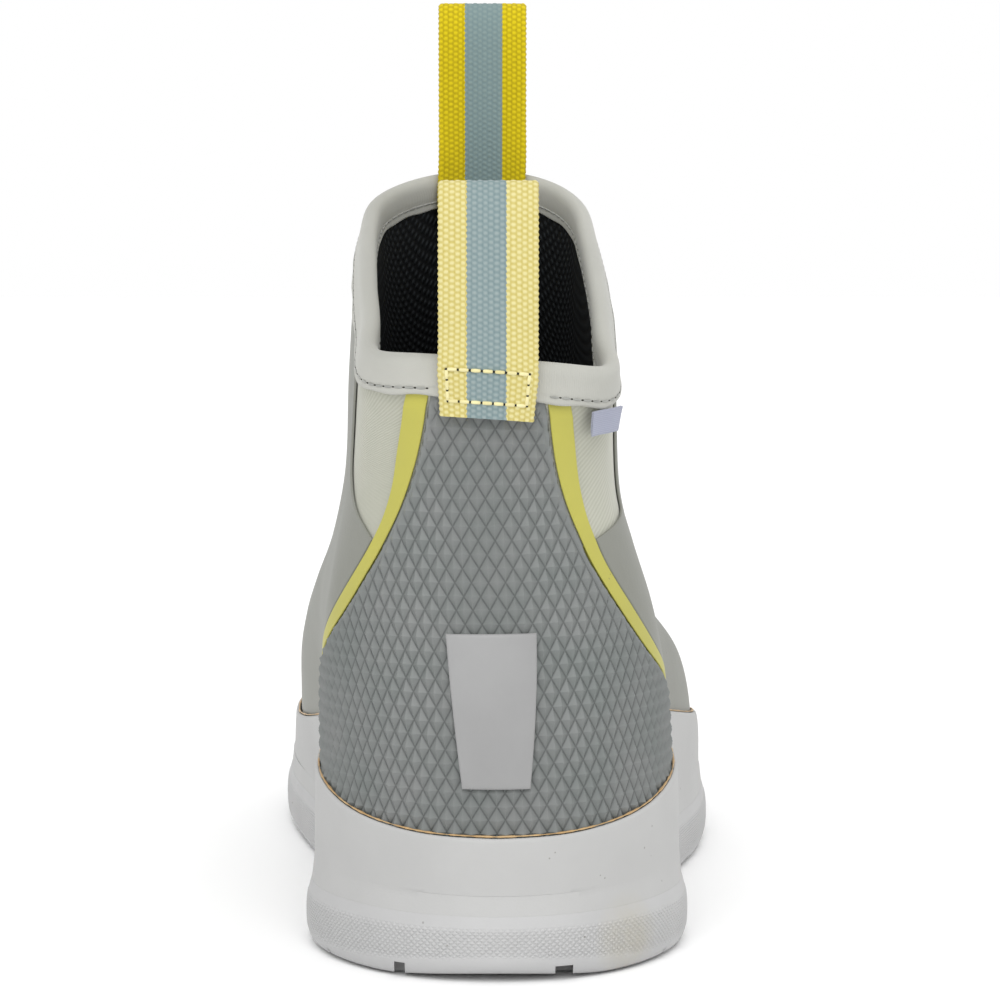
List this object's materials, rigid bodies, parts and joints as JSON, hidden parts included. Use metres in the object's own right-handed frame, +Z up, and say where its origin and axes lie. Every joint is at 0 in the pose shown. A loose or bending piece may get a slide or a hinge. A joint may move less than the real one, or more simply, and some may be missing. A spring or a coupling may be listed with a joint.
{
  "type": "deck boot",
  "caption": "Ankle-height slip-on deck boot for the right foot, with a rolled collar, a stretch gore on each side and webbing pull loops front and back.",
  "frame": {"origin": "on the flat of the tread, on the ground, midway along the sole and on its centre line", "axes": "+Z up, +Y towards the toe, +X towards the outer (lateral) side of a right foot"},
  "size_m": [0.1193, 0.3046, 0.2241],
  "materials": {
    "outsole": "moulded pale grey rubber, matte",
    "midsole": "pale grey moulded foam rubber, matte",
    "cement_line": "dried tan sole cement",
    "strobel_board": "stitched fibre board",
    "footbed_foam": "dark foam",
    "footbed_cover": "black knit",
    "lining": "black diagonal mesh",
    "neoprene_bootie": "warm pale grey knit-faced neoprene",
    "heel_counter": "thermoplastic board",
    "toe_puff": "thermoplastic board",
    "heel_panel": "dark grey rubber with raised diamonds",
    "lateral_stripe": "dull yellow rubber inlay",
    "medial_stripe": "dull yellow rubber inlay",
    "vamp_shell": "smooth grey moulded rubber",
    "kick_plate": "smooth light grey rubber",
    "toe_bumper": "dark grey rubber",
    "collar_foam": "foam cord",
    "collar_binding": "pale grey stretch binding",
    "collar_stitch": "pale thread",
    "side_label": "lavender grey woven tape",
    "rear_pull_loop": "woven webbing, yellow edges and a grey middle",
    "rear_loop_outer_tail": "woven webbing, yellow edges and a grey middle",
    "rear_loop_inner_tail": "woven webbing, yellow edges and a grey middle",
    "rear_loop_stitch": "pale thread",
    "front_pull_loop": "woven webbing, yellow edges and a grey middle",
    "front_loop_outer_tail": "woven webbing, yellow edges and a grey middle",
    "front_loop_inner_tail": "woven webbing, yellow edges and a grey middle",
    "front_loop_stitch": "pale thread"
  },
  "bodies": {
    "boot": {"outsole": "outsole", "midsole": "midsole", "cement_line": "cement_line", "strobel_board": "strobel_board", "footbed_foam": "footbed_foam", "footbed_cover": "footbed_cover", "lining": "lining", "neoprene_bootie": "neoprene_bootie", "heel_counter": "heel_counter", "toe_puff": "toe_puff", "heel_panel": "heel_panel", "lateral_stripe": "lateral_stripe", "medial_stripe": "medial_stripe", "vamp_shell": "vamp_shell", "kick_plate": "kick_plate", "toe_bumper": "toe_bumper", "collar_foam": "collar_foam", "collar_binding": "collar_binding", "collar_stitch": "collar_stitch", "rear_loop_outer_tail": "rear_loop_outer_tail", "rear_loop_inner_tail": "rear_loop_inner_tail", "rear_loop_stitch": "rear_loop_stitch", "front_loop_outer_tail": "front_loop_outer_tail", "front_loop_inner_tail": "front_loop_inner_tail", "front_loop_stitch": "front_loop_stitch"},
    "rear_loop": {"rear_pull_loop": "rear_pull_loop"},
    "front_loop": {"front_pull_loop": "front_pull_loop"},
    "label": {"side_label": "side_label"}
  },
  "joints": [
    {"name": "rear_loop_bend", "type": "hinge", "parent": "boot", "child": "rear_loop", "pos_m": [-0.00193, -0.1436, 0.13697], "axis": [1, 0, 0], "range_deg": [-35, 55], "stiffness_Nm_per_rad": 0.02},
    {"name": "front_loop_bend", "type": "hinge", "parent": "boot", "child": "front_loop", "pos_m": [-0.00337, -0.03247, 0.1822], "axis": [1, 0, 0], "range_deg": [-50, 40], "stiffness_Nm_per_rad": 0.02},
    {"name": "side_label_flap", "type": "hinge", "parent": "boot", "child": "label", "pos_m": [0.0248, -0.1317, 0.12573], "axis": [-0.5602, -0.8245, -0.0806], "range_deg": [0, 80]}
  ]
}
